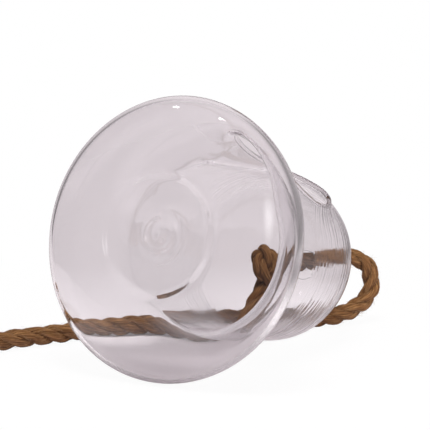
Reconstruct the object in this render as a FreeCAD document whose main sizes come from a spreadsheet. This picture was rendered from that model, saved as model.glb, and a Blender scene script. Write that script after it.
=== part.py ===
import FreeCAD, Part
import math
import os

import Sketcher
from FreeCAD import Placement, Rotation, Vector

# Hanging propagation vase of blown glass with its rope, lying on its side.
# Row frame: +Z up, floor at zero, the vessel's axis in the XZ plane with the dome towards +X.
os.makedirs("parts", exist_ok=True)
doc = FreeCAD.newDocument("propagation_vase")

# Values in mm and degrees. Heights of the vessel run along its axis from the foot ring.
SIZES = [
    ("bulb_radius", 75.0),
    ("equator_height", 14.0),
    ("lower_corner", 8.5),
    ("upper_corner", 18.0),
    ("shoulder_radius", 71.0),
    ("shoulder_angle", 60.1),
    ("waist_angle", 61.98),
    ("wall_draft", 1.556),
    ("dome_radius", 50.0),
    ("dome_height", 130.0),
    ("wall", 2.0),
    ("ring_radius", 35.0),
    ("ring_width", 2.0),
    ("punt_radius", 31.0),
    ("punt_height", 2.2),
    ("dimple_radius", 12.0),
    ("dimple_height", 3.6),
    ("pontil_radius", 6.0),
    ("pontil_height", 5.5),
    ("floor_glass", 3.6),
    ("rope_hole_radius", 10.0),
    ("opening_height", 82.5),
    ("opening_turn", 31.5),
    ("opening_lean", 8.6),
    ("opening_major", 50.0),
    ("opening_minor", 20.9),
    ("lip_thickness", 3.0),
    ("lip_bead", 2.2),
    ("lip_base_radius", 65.8),
    ("lip_dome_radius", 52.25),
    ("lip_half_span", 53.0),
    ("lip_arc_radius", 362.0),
    ("opening_start", 20.0),
    ("opening_reach", 70.0),
    ("rope_diameter", 11.0),
    ("knot_ring", 8.2),
    ("knot_strand", 5.0),
    ("knot_core", 8.0),
    ("knot_facing", -60.7),
    ("knot_tilt", 24.0),
    ("knot_spread", 3.6),
    ("coil_radius", 66.3),
    ("coil_spacing", 11.6),
]
sheet = doc.addObject("Spreadsheet::Sheet", "sheet")
for row, (alias, number) in enumerate(SIZES, start=1):
    sheet.set("A%d" % row, alias)
    sheet.set("B%d" % row, str(number))
    sheet.setAlias("B%d" % row, alias)
doc.recompute()


def val(alias):
    return float(getattr(sheet, alias))


def rad(alias):
    return math.radians(val(alias))


def origin_plane(body, role):
    for feature in body.Origin.OriginFeatures:
        if feature.Role == role:
            return feature
    raise RuntimeError("no plane " + role)


def new_sketch(body, name):
    sketch = body.newObject("Sketcher::SketchObject", name)
    sketch.AttachmentSupport = [(origin_plane(body, "XZ_Plane"), "")]
    sketch.MapMode = "FlatFace"
    return sketch


def bind(sketch, kind, place, number, formula):
    """Adds a dimension to the sketch and binds it to a formula of the sheet."""
    index = sketch.addConstraint(Sketcher.Constraint(kind, *place, number))
    sketch.renameConstraint(index, "d%d" % index)
    sketch.setExpression("Constraints.d%d" % index, formula)


def circle_arc(centre, radius, first, last):
    return Part.ArcOfCircle(Part.Circle(Vector(*centre), Vector(0, 0, 1), radius), first, last)


def segment(first, last):
    return Part.LineSegment(Vector(*first), Vector(*last))


def vessel_profile(name, inset, floor_points):
    """Body of revolution. inset is 0 for the outside and 1 for the inside, one wall further in.

    floor_points: (radius, height, radius formula, height formula) from the axis to the foot ring.
    """
    body = doc.addObject("PartDesign::Body", name)
    sketch = new_sketch(body, name + "_profile")
    skin = val("wall") * inset
    less = " - sheet.wall" if inset else ""
    more = " + sheet.wall" if inset else ""
    big, small = val("upper_corner"), val("lower_corner")
    equator, ring = val("equator_height"), val("ring_radius")
    turn, draft = rad("shoulder_angle"), rad("wall_draft")
    reach = val("bulb_radius") - small - ring
    belly = (reach ** 2 + equator ** 2 - small ** 2) / (2 * (equator - small))
    lower = (val("bulb_radius") - small, equator, 0)
    upper = (val("bulb_radius") - big, equator, 0)
    pull = val("shoulder_radius") - big
    shoulder = (upper[0] - pull * math.cos(turn), upper[1] - pull * math.sin(turn), 0)
    belly_end = -math.atan2(belly - equator, reach)
    # The wall line touches the dome. The waist fillet touches the wall, and the shoulder at
    # waist_angle, which sets its radius.
    dome_r = val("dome_radius") - skin
    side = Vector(math.cos(draft), -math.sin(draft), 0)
    run = Vector(math.sin(draft), math.cos(draft), 0)
    dome_c = Vector(0, val("dome_height"), 0)
    wall_top = dome_c + side * dome_r
    meet = math.cos(rad("waist_angle") + draft)
    room = (Vector(*shoulder) - dome_c).dot(side) - val("dome_radius")
    fillet = (room + val("shoulder_radius") * meet) / (1 - meet) + skin
    gap = val("shoulder_radius") - skin + fillet
    start = wall_top + side * fillet - Vector(*shoulder)
    along = start.dot(run)
    back = along - math.sqrt(along ** 2 - start.dot(start) + gap ** 2)
    fillet_c = wall_top + side * fillet - run * back
    wall_low = fillet_c - side * fillet
    slope = math.atan2(fillet_c.y - shoulder[1], fillet_c.x - shoulder[0])

    points = [(0, floor_points[0][1], 0)] + [(p[0], p[1], 0) for p in floor_points]
    for first, last in zip(points, points[1:]):
        sketch.addGeometry(segment(first, last), False)
    lines = len(points) - 1
    arcs = [
        circle_arc((ring, belly, 0), belly - skin, -math.pi / 2, belly_end),
        circle_arc(lower, small - skin, belly_end, 0),
        circle_arc(upper, big - skin, 0, turn),
        circle_arc(shoulder, val("shoulder_radius") - skin, turn, slope),
        circle_arc((fillet_c.x, fillet_c.y, 0), fillet, math.pi - draft, slope + math.pi),
        segment((wall_low.x, wall_low.y, 0), (wall_top.x, wall_top.y, 0)),
        circle_arc((0, dome_c.y, 0), dome_r, -draft, math.pi / 2),
        segment((0, dome_c.y + dome_r, 0), points[0]),
    ]
    ids = [sketch.addGeometry(arc, False) for arc in arcs]
    g_belly, g_low, g_up, g_shoulder, g_fillet, g_wall, g_dome, g_axis = ids
    pairs = [(i, 2, i + 1, 1) for i in range(lines - 1)]
    pairs += [(g_dome, 2, g_axis, 1), (g_axis, 2, 0, 1)]
    for pair in pairs:
        sketch.addConstraint(Sketcher.Constraint("Coincident", *pair))
    sketch.addConstraint(Sketcher.Constraint("PointOnObject", 0, 1, -2))
    sketch.addConstraint(Sketcher.Constraint("PointOnObject", g_dome, 2, -2))
    sketch.addConstraint(Sketcher.Constraint("Horizontal", 0))
    for index, point in enumerate(floor_points):
        bind(sketch, "DistanceX", (-1, 1, index, 2), point[0], point[2])
        if point[3] == "ground":
            sketch.addConstraint(Sketcher.Constraint("PointOnObject", index, 2, -1))
        else:
            bind(sketch, "DistanceY", (-1, 1, index, 2), point[1], point[3])
    joint = "Tangent"
    if inset:
        joint = "Coincident"
        bind(sketch, "DistanceX", (-1, 1, g_belly, 3), ring, "sheet.ring_radius")
    sketch.addConstraint(Sketcher.Constraint(joint, lines - 1, 2, g_belly, 1))
    for pair in [
        (g_belly, 2, g_low, 1),
        (g_low, 2, g_up, 1),
        (g_up, 2, g_shoulder, 1),
        (g_shoulder, 2, g_fillet, 2),
        (g_fillet, 1, g_wall, 1),
        (g_wall, 2, g_dome, 1),
    ]:
        sketch.addConstraint(Sketcher.Constraint("Tangent", *pair))
    bind(sketch, "DistanceX", (-1, 1, g_low, 3), lower[0], "sheet.bulb_radius - sheet.lower_corner")
    bind(sketch, "DistanceY", (-1, 1, g_low, 3), equator, "sheet.equator_height")
    bind(sketch, "DistanceY", (-1, 1, g_up, 3), equator, "sheet.equator_height")
    bind(sketch, "Radius", (g_low,), small - skin, "sheet.lower_corner" + less)
    bind(sketch, "Radius", (g_up,), big - skin, "sheet.upper_corner" + less)
    pull_text = "(sheet.shoulder_radius - sheet.upper_corner)"
    bind(
        sketch, "DistanceX", (-1, 1, g_shoulder, 3), shoulder[0],
        "sheet.bulb_radius - sheet.upper_corner - %s * cos(sheet.shoulder_angle)" % pull_text,
    )
    bind(
        sketch, "DistanceY", (g_shoulder, 3, -1, 1), -shoulder[1],
        "%s * sin(sheet.shoulder_angle) - sheet.equator_height" % pull_text,
    )
    centre_x = "(sheet.bulb_radius - sheet.upper_corner - %s * cos(sheet.shoulder_angle))" % pull_text
    centre_y = "(sheet.equator_height - %s * sin(sheet.shoulder_angle))" % pull_text
    meet_text = "cos(sheet.waist_angle + sheet.wall_draft)"
    room_text = "%s * cos(sheet.wall_draft)" % centre_x
    room_text += " + (sheet.dome_height - %s) * sin(sheet.wall_draft) - sheet.dome_radius" % centre_y
    fillet_text = "(%s + sheet.shoulder_radius * %s) / (1 - %s)" % (room_text, meet_text, meet_text)
    bind(sketch, "Radius", (g_fillet,), fillet, fillet_text + more)
    bind(sketch, "Angle", (g_wall,), math.pi / 2 - draft, "(90 - sheet.wall_draft) * 1 deg")
    bind(sketch, "DistanceY", (-1, 1, g_dome, 3), dome_c.y, "sheet.dome_height")
    sketch.addConstraint(Sketcher.Constraint("PointOnObject", g_dome, 3, -2))
    bind(sketch, "Radius", (g_dome,), dome_r, "sheet.dome_radius" + less)
    turned = body.newObject("PartDesign::Revolution", name + "_turned")
    turned.Profile = sketch
    turned.ReferenceAxis = (sketch, ["V_Axis"])
    turned.Angle = 360
    body.Tip = turned
    doc.recompute()
    print(name, "solver", sketch.solve(), "volume", round(body.Shape.Volume, 1))
    return body


ring_r, ring_in = val("ring_radius"), val("ring_radius") - val("ring_width")
outside = vessel_profile("outer_skin", 0, [
    (val("pontil_radius"), val("pontil_height"), "sheet.pontil_radius", "sheet.pontil_height"),
    (val("dimple_radius"), val("dimple_height"), "sheet.dimple_radius", "sheet.dimple_height"),
    (val("punt_radius"), val("punt_height"), "sheet.punt_radius", "sheet.punt_height"),
    (ring_in, 0, "sheet.ring_radius - sheet.ring_width", "ground"),
    (ring_r, 0, "sheet.ring_radius", "ground"),
])
inside = vessel_profile("cavity", 1, [
    (
        val("pontil_radius"), val("pontil_height") + val("floor_glass"),
        "sheet.pontil_radius", "sheet.pontil_height + sheet.floor_glass",
    ),
    (
        val("dimple_radius"), val("dimple_height") + val("floor_glass"),
        "sheet.dimple_radius", "sheet.dimple_height + sheet.floor_glass",
    ),
    (ring_r, val("wall"), "sheet.ring_radius", "sheet.wall"),
])

# Body of revolution whose side the lip follows: it bridges the waist in one shallow hollow curve.
envelope = doc.addObject("PartDesign::Body", "lip_envelope")
sketch = new_sketch(envelope, "lip_envelope_profile")
mid, half = val("opening_height"), val("lip_half_span")
low = Vector(val("lip_base_radius"), mid - half, 0)
high = Vector(val("lip_dome_radius"), mid + half, 0)
chord = high - low
normal = Vector(chord.y, -chord.x, 0).normalize()
arc_r = val("lip_arc_radius")
hollow = low + chord * 0.5 + normal * math.sqrt(arc_r ** 2 - chord.Length ** 2 / 4)
angles = [math.atan2(p.y - hollow.y, p.x - hollow.x) % (2 * math.pi) for p in (high, low)]
sketch.addGeometry(segment((0, low.y, 0), tuple(low)), False)
sketch.addGeometry(circle_arc(tuple(hollow), arc_r, *angles), False)
sketch.addGeometry(segment(tuple(high), (0, high.y, 0)), False)
sketch.addGeometry(segment((0, high.y, 0), (0, low.y, 0)), False)
for pair in [(0, 2, 1, 2), (1, 1, 2, 1), (2, 2, 3, 1), (3, 2, 0, 1)]:
    sketch.addConstraint(Sketcher.Constraint("Coincident", *pair))
sketch.addConstraint(Sketcher.Constraint("Horizontal", 0))
sketch.addConstraint(Sketcher.Constraint("Horizontal", 2))
sketch.addConstraint(Sketcher.Constraint("PointOnObject", 0, 1, -2))
sketch.addConstraint(Sketcher.Constraint("PointOnObject", 2, 2, -2))
bind(sketch, "DistanceX", (-1, 1, 0, 2), low.x, "sheet.lip_base_radius")
bind(sketch, "DistanceY", (-1, 1, 0, 2), low.y, "sheet.opening_height - sheet.lip_half_span")
bind(sketch, "DistanceX", (-1, 1, 2, 1), high.x, "sheet.lip_dome_radius")
bind(sketch, "DistanceY", (-1, 1, 2, 1), high.y, "sheet.opening_height + sheet.lip_half_span")
bind(sketch, "Radius", (1,), arc_r, "sheet.lip_arc_radius")
turned = envelope.newObject("PartDesign::Revolution", "lip_envelope_turned")
turned.Profile = sketch
turned.ReferenceAxis = (sketch, ["V_Axis"])
turned.Angle = 360
envelope.Tip = turned
doc.recompute()
print("lip_envelope solver", sketch.solve(), "volume", round(envelope.Shape.Volume, 1))

# The opening's own axes in the vessel: outwards, across and along the leaning oval.
turn, lean = rad("opening_turn"), rad("opening_lean")
outwards = Vector(-math.cos(turn), -math.sin(turn), 0)
across = Vector(math.sin(turn), -math.cos(turn), 0)
upright = Vector(0, 0, 1)
major = upright * math.cos(lean) + across * math.sin(lean)
minor = outwards.cross(major)
oval_spin = Rotation(major, minor, outwards, "ZXY")


def oval_prism(name, growth):
    oval = doc.addObject("Part::Ellipse", name + "_outline")
    oval.setExpression("MajorRadius", "sheet.opening_major %s 0.5 * sheet.lip_thickness" % growth)
    oval.setExpression("MinorRadius", "sheet.opening_minor %s 0.5 * sheet.lip_thickness" % growth)
    oval.Placement = Placement(upright * mid + outwards * val("opening_start"), oval_spin)
    prism = doc.addObject("Part::Extrusion", name)
    prism.Base = oval
    prism.DirMode = "Custom"
    prism.Dir = outwards
    prism.Solid = True
    prism.setExpression("LengthFwd", "sheet.opening_reach")
    doc.recompute()
    print(name, "volume", round(prism.Shape.Volume, 1))
    return prism


def boolean(kind, name, first, second):
    result = doc.addObject(kind, name)
    if kind == "Part::Cut":
        result.Base = first
        result.Tool = second
    else:
        result.Shapes = [first, second]
    doc.recompute()
    print(name, result.State, "volume", round(result.Shape.Volume, 1))
    return result


collar_block = oval_prism("collar_block", "+")
opening_prism = oval_prism("opening_prism", "-")
collar = boolean("Part::MultiCommon", "collar", collar_block, envelope)
blown = boolean("Part::MultiFuse", "blown_block", outside, collar)
hollowed = boolean("Part::Cut", "hollowed", blown, inside)
opened = boolean("Part::Cut", "opened", hollowed, opening_prism)

rope_hole = doc.addObject("Part::Cylinder", "rope_hole")
rope_hole.setExpression("Radius", "sheet.rope_hole_radius")
rope_hole.setExpression("Height", "sheet.dome_radius + sheet.rope_diameter")
rope_hole.setExpression("Placement.Base.z", "sheet.dome_height")
doc.recompute()
drilled = boolean("Part::Cut", "drilled", opened, rope_hole)


def lip_point(share):
    """Point of the lip's middle line at that share of one round of the oval."""
    angle = 2 * math.pi * share
    spot = major * (val("opening_major") * math.cos(angle))
    spot += minor * (val("opening_minor") * math.sin(angle))
    height, side = spot.dot(upright), spot.dot(across)
    axis_up = Vector(0, mid + height, 0)
    drop = math.sqrt(arc_r ** 2 - (axis_up.y - hollow.y) ** 2)
    radius = hollow.x - drop
    outward = math.sqrt(radius ** 2 - side ** 2)
    return upright * (mid + height) + across * side + outwards * outward


LIP_SHARES = 48
lip_line = Part.BSplineCurve()
lip_line.interpolate([lip_point(i / LIP_SHARES) for i in range(LIP_SHARES)], PeriodicFlag=True)
lip_first, lip_last = lip_line.FirstParameter, lip_line.LastParameter
lip_middle = 0.5 * (lip_first + lip_last)
beads = []
for label, first, last in (("lip_bead_one", lip_first, lip_middle), ("lip_bead_two", lip_middle, lip_last)):
    path = Part.Wire([lip_line.toShape(first, last)])
    ring = Part.makeCircle(val("lip_bead"), lip_line.value(first), lip_line.tangent(first)[0])
    bead = doc.addObject("Part::Feature", label)
    bead.Shape = Part.Solid(path.makePipeShell([Part.Wire([ring])], True, False))
    print(label, "volume", round(bead.Shape.Volume, 1), bead.Shape.isValid())
    beads.append(bead)

vessel = doc.addObject("Part::MultiFuse", "glass_vessel")
vessel.Shapes = [drilled] + beads
vessel.Label = "glass_vessel"
doc.recompute()
print("glass_vessel", vessel.State, "volume", round(vessel.Shape.Volume, 1))

# The vessel lies on its upper corner and on its dome: the tilt follows from those two radii.
rise = val("dome_height") - val("equator_height")
side_reach = val("bulb_radius") - val("upper_corner")
tilt = math.acos((val("dome_radius") - val("upper_corner")) / math.hypot(side_reach, rise))
tilt -= math.atan2(rise, side_reach)
axis = Vector(math.cos(tilt), 0, -math.sin(tilt))
up_side = Vector(math.sin(tilt), 0, math.cos(tilt))
equator_z = side_reach * math.cos(tilt) + val("upper_corner")
belly_reach = val("bulb_radius") - val("lower_corner") - ring_r
belly = belly_reach ** 2 + val("equator_height") ** 2 - val("lower_corner") ** 2
belly /= 2 * (val("equator_height") - val("lower_corner"))
far_x = rise * math.cos(tilt) + val("dome_radius")
near_x = (belly - val("equator_height")) * math.cos(tilt) - ring_r * math.sin(tilt) - belly
equator_c = Vector(-0.5 * (far_x + near_x), 0, equator_z)
vessel_base = equator_c - axis * val("equator_height")
vessel.Placement = Placement(vessel_base, Rotation(Vector(0, 1, 0), 90 + math.degrees(tilt)))
doc.recompute()
print("tilt", round(math.degrees(tilt), 3), "base centre", [round(v, 2) for v in vessel_base])


def rounded_route(corners):
    """Straight runs joined by tangent arcs; prints the least radius. Returns wire and length."""
    edges, last, least = [], corners[0], None
    for before, corner, after in zip(corners, corners[1:], corners[2:]):
        first_way = (corner - before).normalize()
        second_way = (after - corner).normalize()
        half_turn = 0.5 * first_way.getAngle(second_way)
        shorter = min((corner - before).Length, (after - corner).Length)
        cut = 0.45 * shorter
        radius = cut / math.tan(half_turn)
        least = radius if least is None else min(least, radius)
        enter, leave = corner - first_way * cut, corner + second_way * cut
        inward = (second_way - first_way).normalize()
        centre = corner + inward * (radius / math.cos(half_turn))
        middle = centre - inward * radius
        edges.append(Part.LineSegment(last, enter).toShape())
        edges.append(Part.Arc(enter, middle, leave).toShape())
        last = leave
    edges.append(Part.LineSegment(last, corners[-1]).toShape())
    return Part.Wire(edges), least


def rope_solid(name, wire, least):
    """Round tube along the wire, with its volume compared with section times length."""
    first = wire.OrderedEdges[0]
    at = first.valueAt(first.FirstParameter)
    way = first.tangentAt(first.FirstParameter)
    ring = Part.Wire([Part.makeCircle(0.5 * val("rope_diameter"), at, way)])
    solid = Part.Solid(wire.makePipeShell([ring], True, False))
    section = math.pi * (0.5 * val("rope_diameter")) ** 2
    share = solid.Volume / (section * wire.Length)
    print(name, "length", round(wire.Length, 1), "least radius", round(least, 1),
          "volume share", round(share, 4), "valid", solid.isValid())
    feature = doc.addObject("Part::Feature", name)
    feature.Shape = solid
    feature.Label = name
    feature.Placement = Placement()
    return feature


# Corners of the rope's route, hand chosen: from the stopper knot through the hole, round the
# tight bend outside, under the dome's nose and away behind the vessel.
floor_z = 0.5 * val("rope_diameter")
RUN_CORNERS = [
    Vector(49.0, 0.0, 45.2),
    Vector(79.5, 1.0, 43.0),
    Vector(104.0, -4.0, 42.0),
    Vector(117.0, -18.6, 43.6),
    Vector(128.0, -30.8, 38.5),
    Vector(126.6, -34.5, 19.3),
    Vector(111.4, -26.3, 7.8),
    Vector(92.0, -14.0, floor_z),
    Vector(74.0, 24.0, floor_z),
    Vector(38.0, 57.0, floor_z),
    Vector(-12.0, 97.0, floor_z),
    Vector(-62.0, 121.0, floor_z),
    Vector(-113.0, 138.0, floor_z),
]
TAIL_CORNERS = [
    Vector(40.2, 0.0, 35.3),
    Vector(30.0, 0.5, 24.0),
    Vector(14.2, 2.0, 11.7),
]
KNOT_CENTRE = Vector(40.1, 0.0, 44.5)
run = rope_solid("rope_run", *rounded_route(RUN_CORNERS))
tail = rope_solid("rope_tail", *rounded_route(TAIL_CORNERS))

# Stopper knot: two strand rings leaning against each other round a core.
core = doc.addObject("Part::Sphere", "knot_core")
core.setExpression("Radius", "sheet.knot_core")
core.Placement = Placement(KNOT_CENTRE, Rotation())
rings = []
for label, side in (("knot_ring_left", -1), ("knot_ring_right", 1)):
    ring = doc.addObject("Part::Torus", label)
    ring.setExpression("Radius1", "sheet.knot_ring")
    ring.setExpression("Radius2", "sheet.knot_strand")
    facing = Rotation(Vector(0, 0, 1), val("knot_facing"))
    shift = facing.multVec(Vector(side * val("knot_spread"), 0, 0))
    leaning = Rotation(Vector(0, 0, 1), val("knot_facing") + side * val("knot_tilt"))
    upended = leaning * Rotation(Vector(0, 1, 0), 90)
    ring.Placement = Placement(KNOT_CENTRE + shift, upended)
    rings.append(ring)
doc.recompute()
lump = doc.addObject("Part::MultiFuse", "knot_lump")
lump.Shapes = [core] + rings
doc.recompute()
seated = boolean("Part::Cut", "knot_lump_on_run", lump, run)
knot = boolean("Part::Cut", "rope_stopper_knot", seated, tail)
knot.Label = "rope_stopper_knot"

# Coil: three half turns, each one spacing share smaller, with straight ends.
heading = (RUN_CORNERS[-1] - RUN_CORNERS[-2]).normalize()
aside = Vector(heading.y, -heading.x, 0)
spot = RUN_CORNERS[-1]
after = spot + heading * val("rope_diameter")
coil_edges = [Part.LineSegment(spot, after).toShape()]
HALF_TURNS = 3
way, radius = heading, val("coil_radius")
for half_turn in range(HALF_TURNS):
    inward = Vector(way.y, -way.x, 0)
    centre = after + inward * radius
    coil_edges.append(Part.Arc(after, centre + way * radius, centre + inward * radius).toShape())
    after = centre + inward * radius
    way = way * -1
    radius -= 0.5 * val("coil_spacing")
coil_edges.append(Part.LineSegment(after, after + way * val("rope_diameter")).toShape())
coil = rope_solid("rope_coil", Part.Wire(coil_edges), radius + 0.5 * val("coil_spacing"))
print("coil least gap to itself", round(val("coil_spacing") - val("rope_diameter"), 2))

doc.recompute()
for item in doc.Objects:
    if "Invalid" in item.State or "Error" in item.State:
        raise RuntimeError("bad object " + item.Name)
NODES = [vessel, knot, tail, run, coil]
for node in NODES:
    shape = node.Shape
    if shape.isNull() or not shape.isValid():
        raise RuntimeError("bad shape " + node.Label)
    box = shape.optimalBoundingBox() if hasattr(shape, "optimalBoundingBox") else shape.BoundBox
    print(node.Label, "solids", len(shape.Solids), "volume", round(shape.Volume, 1),
          [round(v, 2) for v in (box.XMin, box.YMin, box.ZMin, box.XMax, box.YMax, box.ZMax)])
    shape.exportStep("parts/" + node.Label + ".step")
for first_at, first in enumerate(NODES):
    for second in NODES[first_at + 1:]:
        shared = first.Shape.common(second.Shape).Volume
        distance = first.Shape.distToShape(second.Shape)[0]
        print(first.Label, second.Label, "shared", round(shared, 3), "gap", round(distance, 3))
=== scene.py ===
import math

import bmesh
import bpy
import numpy as np
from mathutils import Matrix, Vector


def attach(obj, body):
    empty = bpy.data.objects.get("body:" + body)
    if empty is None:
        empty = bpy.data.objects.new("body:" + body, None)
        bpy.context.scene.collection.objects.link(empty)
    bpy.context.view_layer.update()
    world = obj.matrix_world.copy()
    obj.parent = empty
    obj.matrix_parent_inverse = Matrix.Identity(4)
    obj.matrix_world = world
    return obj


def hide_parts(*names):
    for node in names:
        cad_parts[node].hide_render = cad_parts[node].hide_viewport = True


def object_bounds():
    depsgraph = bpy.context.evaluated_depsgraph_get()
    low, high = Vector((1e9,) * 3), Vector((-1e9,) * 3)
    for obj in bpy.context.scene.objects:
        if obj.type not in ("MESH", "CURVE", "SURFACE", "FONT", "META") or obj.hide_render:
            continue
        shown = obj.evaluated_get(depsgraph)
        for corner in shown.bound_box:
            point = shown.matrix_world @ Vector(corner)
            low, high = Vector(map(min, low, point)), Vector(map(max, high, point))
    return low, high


# Hanging propagation vase of blown glass with its rope, lying on its side. Metres.
MM = 0.001
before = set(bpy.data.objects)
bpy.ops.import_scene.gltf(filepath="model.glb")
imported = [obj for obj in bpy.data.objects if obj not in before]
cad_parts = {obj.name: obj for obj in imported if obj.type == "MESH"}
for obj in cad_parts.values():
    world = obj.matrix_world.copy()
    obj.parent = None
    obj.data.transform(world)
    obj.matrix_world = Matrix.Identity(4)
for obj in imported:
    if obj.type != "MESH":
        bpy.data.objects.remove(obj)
start_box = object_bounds()
scene = bpy.context.scene
chance = np.random.default_rng(7)


def linear(code):
    """Linear RGBA of an sRGB hex colour."""
    parts = [int(code[i:i + 2], 16) / 255 for i in (0, 2, 4)]
    return tuple(p / 12.92 if p <= 0.04045 else ((p + 0.055) / 1.055) ** 2.4 for p in parts) + (1,)


# Camera: a 20 degree lens at the photo's place that looks 6 degrees down, without roll.
CAMERA_AT = Vector((-0.60689, -0.32821, 0.15206))
CAMERA_WAY = Vector((0.8673275, 0.48661183, -0.1046515))
camera_data = bpy.data.cameras.new("camera")
SENSOR, VIEW_ANGLE = 36.0, math.radians(20)
camera_data.sensor_width = SENSOR
camera_data.lens = 0.5 * SENSOR / math.tan(0.5 * VIEW_ANGLE)
camera = bpy.data.objects.new("camera", camera_data)
camera.location = CAMERA_AT
camera.rotation_euler = CAMERA_WAY.to_track_quat("-Z", "Y").to_euler()
scene.collection.objects.link(camera)
scene.camera = camera


def mesh_piece(name, points, faces, material, uv=None, smooth=True):
    """A mesh object from metre points; uv has one pair for each face corner."""
    mesh = bpy.data.meshes.new(name)
    mesh.from_pydata(np.asarray(points, float).tolist(), [], faces)
    mesh.polygons.foreach_set("use_smooth", [smooth] * len(mesh.polygons))
    if uv is not None:
        layer = mesh.uv_layers.new(name="UVMap")
        layer.data.foreach_set("uv", np.asarray(uv, np.float32).ravel())
    mesh.materials.append(material)
    mesh.update()
    piece = bpy.data.objects.new(name, mesh)
    scene.collection.objects.link(piece)
    return piece


def new_material(name):
    """A material and its emptied node tree."""
    material = bpy.data.materials.new(name)
    material.use_nodes = True
    tree = material.node_tree
    tree.nodes.clear()
    return material, tree


def node(tree, kind, settings=None, **inputs):
    """Adds a node, sets its properties and its inputs: values, or sockets to link from.

    An input is given by its name, or as i0, i1 and so on where names repeat.
    """
    made = tree.nodes.new(kind)
    for key, value in (settings or {}).items():
        setattr(made, key, value)
    for key, value in inputs.items():
        numbered = key[0] == "i" and key[1:].isdigit()
        socket = made.inputs[int(key[1:]) if numbered else key.replace("_", " ")]
        if isinstance(value, bpy.types.NodeSocket):
            tree.links.new(value, socket)
        else:
            socket.default_value = value
    return made


# The vessel's place: the centre of its foot ring, its axis and its upper side.
VESSEL_BASE = np.array((-83.948, 0.0, 76.660)) * MM
TILT = math.radians(11.834)
AXIS = np.array((math.cos(TILT), 0, -math.sin(TILT)))
UP_SIDE = np.array((math.sin(TILT), 0, math.cos(TILT)))


# Clear blown soda-lime glass, fire-polished: no roughness, slow ripples all over, and fine turning
# marks round the neck and the dome. Its shadow is light face on and darker where the wall is met
# at a slant. Light mirrored more than three times inside the wall leaves it straight.
RIPPLES_PER_METRE = 30.0
RIPPLE_STRENGTH, RIPPLE_DEPTH = 0.12, 1.4 * MM
MARKS_PER_METRE, MARK_TURNS_PER_METRE = 420.0, 26.0
MARK_STRENGTH, MARK_DEPTH = 0.32, 0.4 * MM
NECK_FROM, NECK_TO = 85.0 * MM, 108.0 * MM
CAUGHT_TURNS = 3.5
GLASS_TINT = linear("fbfafb")
glass, tree = new_material("clear_blown_glass")
place = node(tree, "ShaderNodeTexCoord")
ripple = node(tree, "ShaderNodeTexNoise", Vector=place.outputs["Object"],
              Scale=RIPPLES_PER_METRE, Detail=1.0)
from_base = node(tree, "ShaderNodeVectorMath", {"operation": "SUBTRACT"},
                 i0=place.outputs["Object"], i1=tuple(VESSEL_BASE))
along_axis = node(tree, "ShaderNodeVectorMath", {"operation": "DOT_PRODUCT"},
                  i0=from_base.outputs["Vector"], i1=tuple(AXIS))
up_part = node(tree, "ShaderNodeVectorMath", {"operation": "DOT_PRODUCT"},
               i0=from_base.outputs["Vector"], i1=tuple(UP_SIDE))
side_part = node(tree, "ShaderNodeSeparateXYZ", Vector=from_base.outputs["Vector"])
lines = node(tree, "ShaderNodeCombineXYZ", X=along_axis.outputs["Value"],
             Y=up_part.outputs["Value"], Z=side_part.outputs["Y"])
squeeze = node(tree, "ShaderNodeMapping", Vector=lines.outputs["Vector"],
               Scale=(MARKS_PER_METRE, MARK_TURNS_PER_METRE, MARK_TURNS_PER_METRE))
marks = node(tree, "ShaderNodeTexNoise", Vector=squeeze.outputs["Vector"], Scale=1.0, Detail=2.0)
on_neck = node(tree, "ShaderNodeMapRange", {"interpolation_type": "SMOOTHSTEP"},
               Value=along_axis.outputs["Value"], From_Min=NECK_FROM, From_Max=NECK_TO,
               To_Min=0.03, To_Max=1.0)
mark_height = node(tree, "ShaderNodeMath", {"operation": "MULTIPLY"},
                   i0=marks.outputs["Fac"], i1=on_neck.outputs["Result"])
ripple_bump = node(tree, "ShaderNodeBump", Strength=RIPPLE_STRENGTH, Distance=RIPPLE_DEPTH,
                   Height=ripple.outputs["Fac"])
mark_bump = node(tree, "ShaderNodeBump", Strength=MARK_STRENGTH, Distance=MARK_DEPTH,
                 Height=mark_height.outputs["Value"], Normal=ripple_bump.outputs["Normal"])
body = node(
    tree, "ShaderNodeBsdfPrincipled", Base_Color=GLASS_TINT, Roughness=0.0, IOR=1.5,
    Transmission_Weight=1.0, Normal=mark_bump.outputs["Normal"],
)
slant = node(tree, "ShaderNodeLayerWeight", Blend=0.45)
cast = node(tree, "ShaderNodeMix", {"data_type": "RGBA"}, i0=slant.outputs["Facing"],
            i6=linear("faf8f9"), i7=linear("959093"))
clear = node(tree, "ShaderNodeBsdfTransparent", Color=cast.outputs[2])
light_path = node(tree, "ShaderNodeLightPath")
caught = node(tree, "ShaderNodeMath", {"operation": "GREATER_THAN"},
              i0=light_path.outputs["Glossy Depth"], i1=CAUGHT_TURNS)
faint = node(tree, "ShaderNodeBsdfTransparent", Color=linear("dcd9db"))
escaping = node(
    tree, "ShaderNodeMixShader", i0=caught.outputs["Value"],
    i1=body.outputs["BSDF"], i2=faint.outputs["BSDF"],
)
passing = node(
    tree, "ShaderNodeMixShader", i0=light_path.outputs["Is Shadow Ray"],
    i1=escaping.outputs["Shader"], i2=clear.outputs["BSDF"],
)
node(tree, "ShaderNodeOutputMaterial", Surface=passing.outputs["Shader"])

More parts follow.
